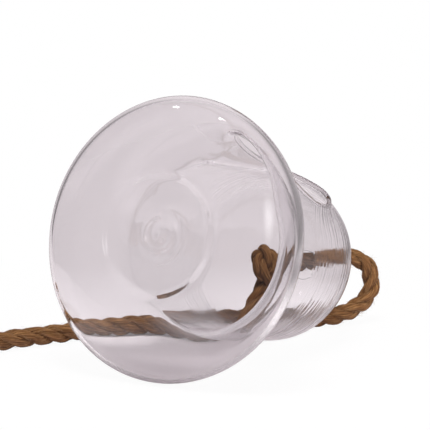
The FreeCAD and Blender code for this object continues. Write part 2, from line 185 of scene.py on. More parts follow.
# Laid jute rope, dry and untreated: matt, with fibres about 11 mm long that run along the
# strands, 34 of them round a strand, and slow blotches where the yarn is darker.
FIBRES_PER_METRE, FIBRES_ROUND_STRAND = 90.0, 34.0
BLOTCHES_PER_METRE, BLOTCHES_ROUND_STRAND = 55.0, 3.0
FIBRE_DEPTH = 0.6 * MM
rope_material, tree = new_material("jute_rope")
place = node(tree, "ShaderNodeUVMap", {"uv_map": "UVMap"})
stretch = node(tree, "ShaderNodeMapping", Vector=place.outputs["UV"],
               Scale=(FIBRES_PER_METRE, FIBRES_ROUND_STRAND, 1.0))
fibre = node(tree, "ShaderNodeTexNoise", Vector=stretch.outputs["Vector"], Scale=1.0, Detail=6.0,
             Roughness=0.7)
patch = node(tree, "ShaderNodeMapping", Vector=place.outputs["UV"],
             Scale=(BLOTCHES_PER_METRE, BLOTCHES_ROUND_STRAND, 1.0))
blotch = node(tree, "ShaderNodeTexNoise", Vector=patch.outputs["Vector"], Scale=1.0, Detail=2.0)
ramp = node(tree, "ShaderNodeValToRGB", Fac=fibre.outputs["Fac"])
stops = ramp.color_ramp.elements
stops[0].position, stops[0].color = 0.36, linear("3d2412")
stops[1].position, stops[1].color = 0.66, linear("c79a66")
middle = stops.new(0.52)
middle.color = linear("855c38")
shade = node(
    tree, "ShaderNodeMix", {"data_type": "RGBA", "blend_type": "MULTIPLY"},
    i0=blotch.outputs["Fac"], i6=ramp.outputs["Color"], i7=linear("dfd4c8"),
)
rough = node(tree, "ShaderNodeBump", Strength=0.9, Distance=FIBRE_DEPTH,
             Height=fibre.outputs["Fac"])
body = node(
    tree, "ShaderNodeBsdfPrincipled", Base_Color=shade.outputs[2], Roughness=0.85,
    Normal=rough.outputs["Normal"],
)
node(tree, "ShaderNodeOutputMaterial", Surface=body.outputs["BSDF"])

# Loose jute fibres, paler than the strands.
fuzz_material, tree = new_material("loose_jute_fibre")
body = node(tree, "ShaderNodeBsdfPrincipled", Base_Color=linear("9a7854"), Roughness=0.8)
node(tree, "ShaderNodeOutputMaterial", Surface=body.outputs["BSDF"])


ROPE = 11.0 * MM
FLOOR_Z = 0.5 * ROPE
# The route of part.py in metres: knot, hole, tight bend, under the dome's nose, away behind.
RUN_CORNERS = [
    (0.0490, 0.0, 0.0452),
    (0.0795, 0.0010, 0.0430),
    (0.1040, -0.0040, 0.0420),
    (0.1170, -0.0186, 0.0436),
    (0.1280, -0.0308, 0.0385),
    (0.1266, -0.0345, 0.0193),
    (0.1114, -0.0263, 0.0078),
    (0.0920, -0.0140, FLOOR_Z),
    (0.0740, 0.0240, FLOOR_Z),
    (0.0380, 0.0570, FLOOR_Z),
    (-0.0120, 0.0970, FLOOR_Z),
    (-0.0620, 0.1210, FLOOR_Z),
    (-0.1130, 0.1380, FLOOR_Z),
]
TAIL_CORNERS = [(0.0402, 0.0, 0.0353), (0.0300, 0.0005, 0.0240), (0.0142, 0.0020, 0.0117)]
KNOT_CENTRE = np.array((0.0401, 0.0, 0.0445))
COIL_RADIUS, COIL_SPACING, HALF_TURNS = 66.3 * MM, 11.6 * MM, 3
# Corners of the polygon round each half turn of the coil, from its start.
COIL_STEP = math.pi / 8


def coil_corners():
    """Corners round the coil's half turns: at r / cos(half a step), one each step of pi/8."""
    spot = np.array(RUN_CORNERS[-1][:2])
    way = spot - np.array(RUN_CORNERS[-2][:2])
    way = way / np.linalg.norm(way)
    after = spot + way * ROPE
    radius = COIL_RADIUS
    corners = []
    for _ in range(HALF_TURNS):
        inward = np.array((way[1], -way[0]))
        centre = after + inward * radius
        for step in np.arange(0.5, 8) * COIL_STEP:
            reach = radius / math.cos(0.5 * COIL_STEP)
            corners.append(centre - inward * reach * math.cos(step) + way * reach * math.sin(step))
        after = centre + inward * radius
        way = -way
        radius -= 0.5 * COIL_SPACING
    corners.append(after + way * ROPE)
    return [(x, y, FLOOR_Z) for x, y in corners]


def route(name, corners):
    """Points of the quadratic NURBS line through the corners."""
    data = bpy.data.curves.new(name, "CURVE")
    data.dimensions = "3D"
    data.resolution_u = 24
    spline = data.splines.new("NURBS")
    spline.points.add(len(corners) - 1)
    for point, corner in zip(spline.points, corners):
        point.co = (*corner, 1)
    spline.order_u = 3
    spline.use_endpoint_u = True
    line = bpy.data.objects.new(name, data)
    flat = bpy.data.meshes.new_from_object(line)
    points = np.array([v.co for v in flat.vertices], float)
    bpy.data.objects.remove(line)
    bpy.data.meshes.remove(flat)
    return points


def resample(points, stations):
    """Points at those lengths along a polyline."""
    steps = np.linalg.norm(np.diff(points, axis=0), axis=1)
    keep = np.r_[True, steps > 1e-9]
    points = points[keep]
    length = np.r_[0, np.cumsum(np.linalg.norm(np.diff(points, axis=0), axis=1))]
    return np.stack([np.interp(stations, length, points[:, i]) for i in range(3)], axis=1)


def line_length(points):
    """Length of a polyline."""
    return float(np.linalg.norm(np.diff(points, axis=0), axis=1).sum())


def unit(vectors):
    """The vectors divided by their lengths."""
    return vectors / np.maximum(np.linalg.norm(vectors, axis=-1, keepdims=True), 1e-12)


def carried_frame(line):
    """Tangents and two normals carried along a line without turning about it."""
    tangent = unit(np.gradient(line, axis=0))
    first = np.zeros_like(line)
    start = np.cross(tangent[0], (0, 0, 1))
    first[0] = start / np.linalg.norm(start)
    for i in range(1, len(line)):
        moved = first[i - 1] - tangent[i] * first[i - 1].dot(tangent[i])
        first[i] = moved / np.linalg.norm(moved)
    return tangent, first, np.cross(tangent, first)


LAY = 38.0 * MM
STRAND_SHARE, OFFSET_SHARE = 0.262, 0.262
YARN_LAY = 24.0 * MM
RESTING = 0.05 * MM


def twisted_rope(name, points, stations, diameter, around=18, phase=0.0, taper=None):
    """Three strands laid right-handed round the line: theta = 2 pi s / lay + 2 pi m / 3.

    A strand's section is a circle of share * diameter with shallow yarn ridges. What would lie
    under the table is pressed flat on it.
    """
    line = resample(points, stations)
    tangent, first, second = carried_frame(line)
    psi = np.linspace(0, 2 * math.pi, around, endpoint=False) + math.pi
    verts, faces, uv = [], [], []
    size = np.ones(len(stations)) if taper is None else taper
    for strand in range(3):
        theta = 2 * math.pi * stations / LAY + 2 * math.pi * strand / 3 + phase
        outward = np.cos(theta)[:, None] * first + np.sin(theta)[:, None] * second
        centre = line + outward * (OFFSET_SHARE * diameter * size)[:, None]
        along = unit(np.gradient(centre, axis=0))
        side = unit(np.cross(along, outward))
        outward = np.cross(side, along)
        wander = 0.05 * np.sin(stations / MM * 0.31 + strand * 2.1)
        wander += 0.04 * np.sin(stations / MM * 0.83 + strand)
        yarn = psi[None, :] + 2 * math.pi * stations[:, None] / YARN_LAY
        ridge = 0.035 * np.cos(6 * yarn + strand) + 0.02 * np.cos(11 * yarn - strand)
        rough = chance.normal(0, 0.012, yarn.shape)
        radius = STRAND_SHARE * diameter * size[:, None] * (1 + wander[:, None] + ridge + rough)
        ring = centre[:, None, :] + radius[..., None] * (
            np.cos(psi)[None, :, None] * outward[:, None, :]
            + np.sin(psi)[None, :, None] * side[:, None, :]
        )
        ring[..., 2] = np.maximum(ring[..., 2], RESTING)
        base = sum(len(v) for v in verts)
        verts.append(ring.reshape(-1, 3))
        count = len(stations)
        place = base + np.arange(count * around).reshape(count, around)
        turn = np.roll(place, -1, axis=1)
        quads = np.stack([place[:-1], turn[:-1], turn[1:], place[1:]], axis=-1)
        faces += [tuple(q) for q in quads.reshape(-1, 4).tolist()]
        steps = np.arange(around + 1) / around
        low = steps[None, :] + stations[:, None] / YARN_LAY + strand * 3.7
        far = stations[:, None] + 0 * low
        corner = np.stack([far, low], axis=-1)
        pairs = (corner[:-1, :-1], corner[:-1, 1:], corner[1:, 1:], corner[1:, :-1])
        uv.append(np.stack(pairs, axis=2).reshape(-1, 2))
        for end, order in ((0, 1), (count - 1, -1)):
            faces.append(tuple(base + end * around + k for k in range(around))[::-order])
            uv.append(np.tile(corner[end, 0], (around, 1)))
    return mesh_piece(name, np.concatenate(verts), faces, rope_material, np.concatenate(uv))


# The whole rope from the knot on, in fine steps where the photo shows it and coarser in the coil.
run_line = route("rope_route", RUN_CORNERS + coil_corners())
rope_length = line_length(run_line)
run_length = line_length(route("run_route", RUN_CORNERS))
FINE_STEP, FINE_SHORT, COARSE_ROWS = 0.8 * MM, 20.0 * MM, 330
fine = np.arange(0, run_length - FINE_SHORT, FINE_STEP)
coarse = np.linspace(run_length - FINE_SHORT, rope_length, COARSE_ROWS)
run_stations = np.r_[fine, coarse]
rope = twisted_rope("rope_run", run_line, run_stations, ROPE, around=18)

tail_line = route("tail_route", TAIL_CORNERS)
TAIL_ROWS = 50
tail_stations = np.linspace(0, line_length(tail_line), TAIL_ROWS)
tail_size = np.interp(tail_stations / tail_stations[-1], [0, 0.75, 1], [0.92, 0.92, 0.86])
tail = twisted_rope("rope_tail", tail_line, tail_stations, ROPE, phase=1.0, taper=tail_size)

# The stopper knot: an open trefoil, radius a + b cos 3t at the angle 2t, height c sin 3t.
KNOT_AXIS = np.array((0.489, -0.872, 0.0))
KNOT_DEPTH = np.array((0.872, 0.489, 0.0))
UP = np.array((0.0, 0.0, 1.0))
KNOT_A, KNOT_B, KNOT_C = 6.6 * MM, 2.6 * MM, 4.2 * MM
KNOT_ROPE, KNOT_STEP = 9.2 * MM, 0.9 * MM
KNOT_START = 0.6
# The ends of the trefoil are cut off, and one point in seven is a corner of the route.
KNOT_CUT, KNOT_EVERY = 4, 7
turns = np.radians(np.linspace(20, 620, 120)) / 2
reach = KNOT_A + KNOT_B * np.cos(3 * turns + KNOT_START)
loops = KNOT_CENTRE + (
    (reach * np.cos(2 * turns))[:, None] * KNOT_DEPTH
    + (reach * np.sin(2 * turns))[:, None] * UP
    + (KNOT_C * np.sin(3 * turns + KNOT_START))[:, None] * KNOT_AXIS
)
kept_loops = [tuple(p) for p in loops[KNOT_CUT:-KNOT_CUT:KNOT_EVERY]]
knot_corners = [RUN_CORNERS[0]] + kept_loops + [TAIL_CORNERS[0]]
knot_line = route("knot_route", knot_corners)
knot_stations = np.arange(0, line_length(knot_line), KNOT_STEP)
knot = twisted_rope("rope_stopper_knot", knot_line, knot_stations, KNOT_ROPE, around=16)


# A fibre is a strip of four quads that starts inside the rope's skin and thins to its tip.
FIBRE_POINTS, FIBRE_HALF_WIDTH, FIBRE_ROOT = 5, 0.08 * MM, 0.44


def loose_fibres(name, line, stations, count, diameter, low, high):
    """Thin curved strips that stand off the strands; each stays inside the given box.

    A strip's line is p(t) = root + way length t + bend length t^2 for t from 0 to 1.
    """
    tangent, first, second = carried_frame(resample(line, stations))
    centres = resample(line, stations)
    verts, faces = [], []
    for _ in range(count):
        at = int(chance.integers(1, len(stations) - 2))
        angle = chance.uniform(0, 2 * math.pi)
        out = math.cos(angle) * first[at] + math.sin(angle) * second[at]
        side = np.cross(tangent[at], out)
        lift = abs(chance.normal(0, 0.32)) + 0.05
        way = unit(tangent[at] * chance.choice((-1, 1)) + side * chance.normal(0, 0.5) + out * lift)
        bend = unit(chance.normal(0, 1, 3)) * chance.uniform(0, 0.25)
        length = chance.uniform(2.0, 6.0) * MM
        t = np.linspace(0, 1, FIBRE_POINTS)[:, None]
        spine = centres[at] + out * (FIBRE_ROOT * diameter) + way * length * t + bend * length * t ** 2
        if (spine < low).any() or (spine > high).any():
            continue
        wide = unit(np.cross(way, out)) * FIBRE_HALF_WIDTH * (1.15 - t)
        base = sum(len(v) for v in verts)
        verts.append(np.concatenate([spine - wide, spine + wide]))
        for i in range(base, base + FIBRE_POINTS - 1):
            faces.append((i, i + 1, i + FIBRE_POINTS + 1, i + FIBRE_POINTS))
    return mesh_piece(name, np.concatenate(verts), faces, fuzz_material)


BOX_MARGIN = 0.4 * MM
RUN_FIBRES, KNOT_FIBRES = 4200, 260
box_low = np.array(start_box[0]) + BOX_MARGIN
box_high = np.array(start_box[1]) - BOX_MARGIN
fuzz_stations = np.arange(0, run_length, 1 * MM)
fuzz = loose_fibres(
    "rope_fibres", run_line, fuzz_stations, RUN_FIBRES, ROPE, box_low, box_high,
)
knot_fuzz = loose_fibres(
    "knot_fibres", knot_line, knot_stations, KNOT_FIBRES, KNOT_ROPE, box_low, box_high,
)


# Sizes of the glass vessel in mm, heights along its axis, as in part.py.
BULB, EQUATOR, LOW_CORNER, HIGH_CORNER = 75.0, 14.0, 8.5, 18.0
SHOULDER, SHOULDER_TURN, FILLET, DRAFT = 71.0, math.radians(60.1), 29.956, math.radians(1.556)
DOME, DOME_AT, WALL, RING = 50.0, 130.0, 2.0, 35.0
ROPE_HOLE = 10.0
OPENING_AT, OPENING_TURN, OPENING_LEAN = 82.5, math.radians(31.5), math.radians(8.6)
OPENING_MAJOR, OPENING_MINOR = 50.0, 20.9
LIP_BASE, LIP_DOME, LIP_SPAN, LIP_ARC = 65.8, 52.25, 53.0, 362.0
FLOOR_RADII, FLOOR_HEIGHTS = (0.3, 6.0, 12.0, 31.0, 33.0, 35.0), (5.5, 5.5, 3.6, 2.2, 0.0, 0.0)
INNER_RADII, INNER_HEIGHTS = (0.0, 6.0, 12.0, 35.0), (9.1, 9.1, 7.2, 2.5)


ARC_STEP, WALL_POINTS = 0.5, 180


def arc(centre, radius, first, last):
    """Points of an arc as (radius, height) pairs: centre + radius (cos, sin)."""
    count = max(3, int(abs(last - first) * radius / ARC_STEP))
    angle = np.linspace(first, last, count)
    return np.stack([centre[0] + radius * np.cos(angle), centre[1] + radius * np.sin(angle)], 1)


def outer_profile():
    """The vessel's outside from the foot's centre to the rope hole, as in part.py."""
    reach = BULB - LOW_CORNER - RING
    belly = (reach ** 2 + EQUATOR ** 2 - LOW_CORNER ** 2) / (2 * (EQUATOR - LOW_CORNER))
    belly_end = -math.atan2(belly - EQUATOR, reach)
    upper = np.array((BULB - HIGH_CORNER, EQUATOR))
    turn = np.array((math.cos(SHOULDER_TURN), math.sin(SHOULDER_TURN)))
    shoulder = upper - turn * (SHOULDER - HIGH_CORNER)
    side = np.array((math.cos(DRAFT), -math.sin(DRAFT)))
    rise = np.array((math.sin(DRAFT), math.cos(DRAFT)))
    wall_top = np.array((0, DOME_AT)) + side * DOME
    start = wall_top + side * FILLET - shoulder
    along = start.dot(rise)
    back = along - math.sqrt(along ** 2 - start.dot(start) + (SHOULDER + FILLET) ** 2)
    fillet = wall_top + side * FILLET - rise * back
    slope = math.atan2(fillet[1] - shoulder[1], fillet[0] - shoulder[0])
    wall = np.linspace(fillet - side * FILLET, wall_top, WALL_POINTS)
    parts = [
        np.stack([FLOOR_RADII, FLOOR_HEIGHTS], axis=1),
        arc((RING, belly), belly, -math.pi / 2, belly_end),
        arc((BULB - LOW_CORNER, EQUATOR), LOW_CORNER, belly_end, 0),
        arc(upper, HIGH_CORNER, 0, SHOULDER_TURN),
        arc(shoulder, SHOULDER, SHOULDER_TURN, slope),
        arc(fillet, FILLET, slope + math.pi, math.pi - DRAFT),
        wall,
        arc((0, DOME_AT), DOME, -DRAFT, math.acos(ROPE_HOLE / DOME)),
    ]
    return np.concatenate(parts)


def softened(line, width):
    """The line averaged over a window of an odd number of its points."""
    weights = np.hanning(width)
    weights /= weights.sum()
    half = width // 2
    padded = np.pad(line, ((half, half), (0, 0)), mode="reflect", reflect_type="odd")
    return np.stack([np.convolve(padded[:, i], weights, mode="valid") for i in range(2)], axis=1)


DENSE_STEP = 0.1
FOOT_WINDOW, WALL_WINDOW = 111, 23
FOOT_END, FOOT_FADE = 46.0, 6.0


def even(profile, step):
    """The same line at even steps, softened at its corners, and more so at the foot."""
    gap = np.linalg.norm(np.diff(profile, axis=0), axis=1)
    profile = profile[np.r_[True, gap > 1e-6]]
    length = np.r_[0, np.cumsum(np.linalg.norm(np.diff(profile, axis=0), axis=1))]
    dense = np.arange(0, length[-1], DENSE_STEP)
    line = np.stack([np.interp(dense, length, profile[:, i]) for i in range(2)], axis=1)
    near = softened(line, FOOT_WINDOW)
    line = softened(line, WALL_WINDOW)
    share_foot = np.clip((FOOT_END - dense) / FOOT_FADE, 0, 1)[:, None]
    line = near * share_foot + line * (1 - share_foot)
    wanted = np.linspace(0, dense[-1], int(dense[-1] / step) + 1)
    return np.stack([np.interp(wanted, dense, line[:, i]) for i in range(2)], axis=1), wanted


ROW_STEP, AROUND = 1.25, 180
profile, profile_s = even(outer_profile(), ROW_STEP)
past_equator = profile_s > profile_s[profile[:, 0].argmax()]
height_axis, height_s = profile[past_equator, 1], profile_s[past_equator]
outwards = UP_SIDE * math.cos(OPENING_TURN) + np.array((0, -1, 0)) * math.sin(OPENING_TURN)
across = -UP_SIDE * math.sin(OPENING_TURN) + np.array((0, -1, 0)) * math.cos(OPENING_TURN)


def turned_point(phi, s):
    """Outside of the vessel in mm, from the base centre: e r cos(phi) + f r sin(phi) + a u."""
    r = np.interp(s, profile_s, profile[:, 0])
    u = np.interp(s, profile_s, profile[:, 1])
    return (
        (r * np.cos(phi))[..., None] * outwards
        + (r * np.sin(phi))[..., None] * across
        + u[..., None] * AXIS
    )


def lip_radius(height):
    """Radius of the lip's hollow curve at a height: the arc through its two ends."""
    low = np.array((LIP_BASE, OPENING_AT - LIP_SPAN))
    high = np.array((LIP_DOME, OPENING_AT + LIP_SPAN))
    chord = high - low
    size = np.linalg.norm(chord)
    beside = np.array((chord[1], -chord[0])) / size
    centre = 0.5 * (low + high) + beside * math.sqrt(LIP_ARC ** 2 - size ** 2 / 4)
    return centre[0] - np.sqrt(LIP_ARC ** 2 - (height - centre[1]) ** 2)


def oval(t, growth):
    """Side and height of the leaning oval at t, grown by some mm."""
    major, minor = OPENING_MAJOR + growth, OPENING_MINOR + growth
    side = major * np.cos(t) * math.sin(OPENING_LEAN) + minor * np.sin(t) * math.cos(OPENING_LEAN)
    height = major * np.cos(t) * math.cos(OPENING_LEAN) - minor * np.sin(t) * math.sin(OPENING_LEAN)
    return side, OPENING_AT + height


def blown_wave(phi, s, seed):
    """Slow unevenness of blown glass, within about 0.2 mm."""
    return 0.07 * (
        np.sin(3 * phi + 0.031 * s + seed)
        + 0.8 * np.sin(5 * phi - 0.052 * s + 2.3 * seed)
        + 0.6 * np.sin(2 * phi + 0.11 * s + 1.7 * seed)
    ) * np.clip(s / 30, 0, 1)


def swirl(phi, s):
    """Trace of the pontil in the foot: a low spiral ridge on r = 3 + 8 phi / 2 pi, a ring at
    r = 13.5 and a nub in the middle, each exp(-((r - its own r) / width)^2) in height.
    """
    turn = np.mod(phi + 0.6, 2 * math.pi) / (2 * math.pi)
    ridge = np.exp(-((s - 3.0 - 8.0 * turn) / 1.3) ** 2) * (0.35 + 0.65 * turn)
    ring = 0.6 * np.exp(-((s - 13.5) / 1.6) ** 2) * (0.6 + 0.4 * np.cos(phi - 1.0))
    nub = 1.2 * np.exp(-(s / 2.6) ** 2)
    return -0.9 * ridge - ring - nub


PATCH_HALF = 20
PATCH_LOW, PATCH_HIGH = 20.0, 146.0
columns = np.arange(AROUND)
phi_grid = 2 * math.pi * columns / AROUND
row_low = int(np.searchsorted(profile_s, np.interp(PATCH_LOW, height_axis, height_s)))
row_high = int(np.searchsorted(profile_s, np.interp(PATCH_HIGH, height_axis, height_s)))
rows = len(profile_s)
grid_phi, grid_s = np.meshgrid(phi_grid, profile_s)
outer = turned_point(grid_phi, grid_s)
index = np.arange(rows * AROUND).reshape(rows, AROUND)

# Outline of the patch that holds the opening, once round, as (row, column) pairs.
cols = list(range(-PATCH_HALF, PATCH_HALF + 1))
outline = [(row_high, c) for c in cols]
outline += [(r, PATCH_HALF) for r in range(row_high - 1, row_low, -1)]
outline += [(row_low, c) for c in cols[::-1]]
outline += [(r, -PATCH_HALF) for r in range(row_low + 1, row_high)]
edge_phi = np.array([2 * math.pi * c / AROUND for r, c in outline])
edge_s = np.array([profile_s[r] for r, c in outline])
edge_index = np.array([index[r, c % AROUND] for r, c in outline])
middle_s = 0.5 * (profile_s[row_low] + profile_s[row_high])
half_s = 0.5 * (profile_s[row_high] - profile_s[row_low])
half_phi = 2 * math.pi * PATCH_HALF / AROUND
oval_t = np.arctan2(edge_phi / half_phi, (edge_s - middle_s) / half_s)
OVAL_GROWTH = 0.4
foot_side, foot_height = oval(oval_t, OVAL_GROWTH)
foot_r = np.interp(foot_height, height_axis, profile[past_equator, 0])
foot_phi = np.arcsin(foot_side / foot_r)
foot_s = np.interp(foot_height, height_axis, height_s)
lip_rise = np.sqrt(lip_radius(foot_height) ** 2 - foot_side ** 2)
lip_rise -= np.sqrt(foot_r ** 2 - foot_side ** 2)
# Rings between the patch's outline and the oval. They flare towards the lip: the rise falls off
# as exp(-d / spread) (1 - (d / whole)^2)^2 with the distance d from the oval.
RINGS = 26
LIP_SPREAD_LEAST, LIP_SPREAD_SHARE = 2.5, 0.75
lip_spread = LIP_SPREAD_LEAST + LIP_SPREAD_SHARE * lip_rise
apart = np.hypot((edge_phi - foot_phi) * foot_r, edge_s - foot_s)
share = 1 - (1 - np.arange(1, RINGS + 1) / RINGS) ** 1.5
ring_phi = edge_phi + (foot_phi - edge_phi) * share[:, None]
ring_s = edge_s + (foot_s - edge_s) * share[:, None]
off = apart * (1 - share[:, None])
fall = np.exp(-off / lip_spread) * (1 - (off / apart) ** 2) ** 2
rings = turned_point(ring_phi, ring_s) + (lip_rise * fall)[..., None] * outwards
ring_index = outer.reshape(-1, 3).shape[0] + np.arange(rings[..., 0].size).reshape(rings.shape[:2])

skin = np.concatenate([outer.reshape(-1, 3), rings.reshape(-1, 3)])
skin_phi = np.concatenate([grid_phi.ravel(), ring_phi.ravel()])
skin_s = np.concatenate([grid_s.ravel(), ring_s.ravel()])
after = np.roll(index, -1, axis=1)
shell_quads = np.stack([index[:-1], after[:-1], after[1:], index[1:]], axis=-1)
row_in = (np.arange(rows - 1) >= row_low) & (np.arange(rows - 1) < row_high)
column_in = (columns < PATCH_HALF) | (columns >= AROUND - PATCH_HALF)
levels = np.vstack([edge_index, ring_index])
after = np.roll(levels, -1, axis=1)
lip_quads = np.stack([levels[:-1], levels[1:], after[1:], after[:-1]], axis=-1)
quads = np.concatenate([shell_quads[~np.outer(row_in, column_in)], lip_quads.reshape(-1, 4)])


def vertex_normals(points, faces):
    """Normals weighted by the area of the quads round each vertex."""
    one = points[faces[:, 2]] - points[faces[:, 0]]
    two = points[faces[:, 3]] - points[faces[:, 1]]
    diagonal = np.cross(one, two)
    total = np.zeros_like(points)
    for k in range(4):
        np.add.at(total, faces[:, k], diagonal)
    return unit(total)


normals = vertex_normals(skin, quads)
equator_row = int(profile[:, 0].argmax())
probe = index[equator_row, AROUND // 2]
if np.dot(normals[probe], skin[probe] - profile[equator_row, 1] * AXIS) < 0:
    quads = quads[:, ::-1]
    normals = -normals

# The inside: a wall's thickness further in, and in the foot the floor of part.py.
inner = skin - normals * (WALL + blown_wave(skin_phi, skin_s, 2.0))[:, None]
FLOOR_FADE, SWIRL_END = 6.0, 30.0
floor_rows = profile[:, 0] < RING
floor_rows[equator_row:] = False
for r in np.flatnonzero(floor_rows):
    lift = np.interp(profile[r, 0], INNER_RADII, INNER_HEIGHTS) - profile[r, 1]
    share_in = np.clip((RING - profile[r, 0]) / FLOOR_FADE, 0, 1)
    plain = skin[index[r]] + lift * AXIS
    inner[index[r]] = inner[index[r]] * (1 - share_in) + plain * share_in
outer_skin = skin + normals * blown_wave(skin_phi, skin_s, 0.7)[:, None]
foot = skin_s < SWIRL_END
outer_skin[foot] += AXIS * swirl(skin_phi[foot], skin_s[foot])[:, None]

# Round bead along the lip: a circle section from the outside to the inside.
rim_out, rim_in = outer_skin[levels[-1]], inner[levels[-1]]
drawn = unit(skin[levels[-1]] - skin[levels[-2]])
thick = unit(rim_out - rim_in)
half_wall = 0.5 * np.linalg.norm(rim_out - rim_in, axis=1, keepdims=True)
BEAD_OUT = 1.0
bead_centre = 0.5 * (rim_out + rim_in) + drawn * BEAD_OUT
bead_radius = np.hypot(half_wall, BEAD_OUT)
lean_angle = np.arctan2(BEAD_OUT, half_wall)
BEAD_STEPS = 18
bead_rings = []
for step in range(1, BEAD_STEPS):
    angle = -lean_angle + (math.pi + 2 * lean_angle) * step / BEAD_STEPS
    bead_rings.append(bead_centre + bead_radius * (thick * np.cos(angle) + drawn * np.sin(angle)))

# Rounded edge of the rope hole.
hole_out, hole_in = outer_skin[index[-1]], inner[index[-1]]
hole_mid = 0.5 * (hole_out + hole_in)
to_axis = unit(AXIS * (hole_mid @ AXIS)[:, None] - hole_mid)
hole_rings = []
HOLE_ROUNDING = 0.9
for angle in (math.pi / 4, math.pi / 2, 3 * math.pi / 4):
    across_wall = 0.5 * (hole_out - hole_in) * math.cos(angle)
    hole_rings.append(hole_mid + across_wall + to_axis * HOLE_ROUNDING * math.sin(angle))

count = len(skin)
parts = [outer_skin, inner]
faces = quads.tolist() + (quads[:, ::-1] + count).tolist()


def bridge(first, rings_between, last):
    """Quads from one closed row of vertices to another over the rings between."""
    base = sum(len(p) for p in parts)
    levels_here = [np.asarray(first)]
    for ring in rings_between:
        parts.append(ring)
        levels_here.append(base + np.arange(len(ring)))
        base += len(ring)
    levels_here.append(np.asarray(last))
    here = np.stack(levels_here)
    turn = np.roll(here, -1, axis=1)
    return np.stack([here[:-1], turn[:-1], turn[1:], here[1:]], axis=-1).reshape(-1, 4).tolist()


rim_quads = bridge(levels[-1], bead_rings, levels[-1] + count)
hole_quads = bridge(index[-1], hole_rings, index[-1] + count)
faces += rim_quads + hole_quads
faces.append(index[0][::-1].tolist())
faces.append((index[0] + count).tolist())
glass_points = np.concatenate(parts) * MM + VESSEL_BASE
# The grid's points under the opening belong to no face and are left out.
used = np.zeros(len(glass_points), bool)
used[np.concatenate(faces)] = True
renumber = np.cumsum(used) - 1
faces = [renumber[face].tolist() for face in faces]
vessel = mesh_piece("glass_vessel", glass_points[used], faces, glass)
shell = bmesh.new()
shell.from_mesh(vessel.data)
bmesh.ops.recalc_face_normals(shell, faces=shell.faces)
shell.to_mesh(vessel.data)
shell.free()


# What each piece stands for.
for piece, cad, slot in (
    (vessel, ("glass_vessel",), "clear_glass"),
    (rope, ("rope_run", "rope_coil"), "fibre_rope"),
    (tail, ("rope_tail",), "fibre_rope"),
    (knot, ("rope_stopper_knot",), "fibre_rope"),
    (fuzz, (), "fibre_rope"),
    (knot_fuzz, (), "fibre_rope"),
):
    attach(piece, "root")
    if cad:
        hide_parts(*cad)


# The pale room that the glass shows is a painted reflection: the table glows where light bent or
# mirrored by the glass meets it. The table is white to the lens. To the glass it shows its
# lamplight near the vessel and, further out, a painted glow in the room's colour, painted dimmer
# close to the camera and to the right.
ROOM = linear("e8e0e3")
FLOOR_GLOW = 0.15
floor_material, tree = new_material("white_table")
light_path = node(tree, "ShaderNodeLightPath")
place = node(tree, "ShaderNodeTexCoord")
far = node(tree, "ShaderNodeVectorMath", {"operation": "LENGTH"}, i0=place.outputs["Object"])
fade = node(tree, "ShaderNodeMapRange", Value=far.outputs["Value"],
            From_Min=0.12, From_Max=0.42, To_Min=0.95, To_Max=1.0)
bent = node(tree, "ShaderNodeMath", {"operation": "MAXIMUM"},
            i0=light_path.outputs["Is Transmission Ray"], i1=light_path.outputs["Is Glossy Ray"])
lit_near = node(tree, "ShaderNodeMapRange", Value=far.outputs["Value"],
                From_Min=0.16, From_Max=0.36, To_Min=FLOOR_GLOW, To_Max=0.96)
bent_share = node(tree, "ShaderNodeMath", {"operation": "MULTIPLY"},
                  i0=bent.outputs["Value"], i1=lit_near.outputs["Result"])
depth = node(tree, "ShaderNodeSeparateXYZ", Vector=place.outputs["Camera"])
front = node(tree, "ShaderNodeMapRange", Value=depth.outputs["Z"],
             From_Min=0.50, From_Max=0.68, To_Min=0.30, To_Max=1.0)
beside = node(tree, "ShaderNodeMapRange", Value=depth.outputs["X"],
              From_Min=0.18, From_Max=0.42, To_Min=1.0, To_Max=0.35)
painted_room_level = node(tree, "ShaderNodeMath", {"operation": "MULTIPLY"},
                  i0=front.outputs["Result"], i1=beside.outputs["Result"])
bent_level = node(tree, "ShaderNodeMath", {"operation": "MAXIMUM"},
                  i0=light_path.outputs["Is Camera Ray"], i1=painted_room_level.outputs["Value"])
seen_share = node(tree, "ShaderNodeMath", {"operation": "MULTIPLY"},
                  i0=light_path.outputs["Is Camera Ray"], i1=fade.outputs["Result"])
glow_share = node(tree, "ShaderNodeMath", {"operation": "MAXIMUM"},
                  i0=bent_share.outputs["Value"], i1=seen_share.outputs["Value"])
glow_colour = node(tree, "ShaderNodeMix", {"data_type": "RGBA"},
                   i0=light_path.outputs["Is Camera Ray"], i6=ROOM, i7=(1, 1, 1, 1))
to_right = node(tree, "ShaderNodeMapRange", Value=depth.outputs["X"],
                From_Min=0.08, From_Max=0.18, To_Min=0.0, To_Max=1.0)
painted_mirror_shade = node(tree, "ShaderNodeMath", {"operation": "MULTIPLY"},
                    i0=light_path.outputs["Is Glossy Ray"], i1=to_right.outputs["Result"])
# Painted shade: where the glass mirrors the table on the right, the table's colour turns dark grey.
matt_colour = node(tree, "ShaderNodeMix", {"data_type": "RGBA"}, i0=painted_mirror_shade.outputs["Value"],
                   i6=linear("e9e2e5"), i7=linear("70696c"))
matt = node(tree, "ShaderNodeBsdfDiffuse", Color=matt_colour.outputs[2])
glow = node(tree, "ShaderNodeEmission", Color=glow_colour.outputs[2],
            Strength=bent_level.outputs["Value"])
mixed = node(tree, "ShaderNodeMixShader", i0=glow_share.outputs["Value"],
             i1=matt.outputs["BSDF"], i2=glow.outputs["Emission"])
node(tree, "ShaderNodeOutputMaterial", Surface=mixed.outputs["Shader"])
# A hair under the pieces that rest on it.
FLOOR_SPAN, FLOOR_TOP = 3.0, -0.2 * MM
floor_corners = [(x * FLOOR_SPAN, y * FLOOR_SPAN, FLOOR_TOP)
                 for x, y in ((-1, -1), (1, -1), (1, 1), (-1, 1))]
floor = mesh_piece("white_floor", floor_corners, [(0, 1, 2, 3)], floor_material, smooth=False)

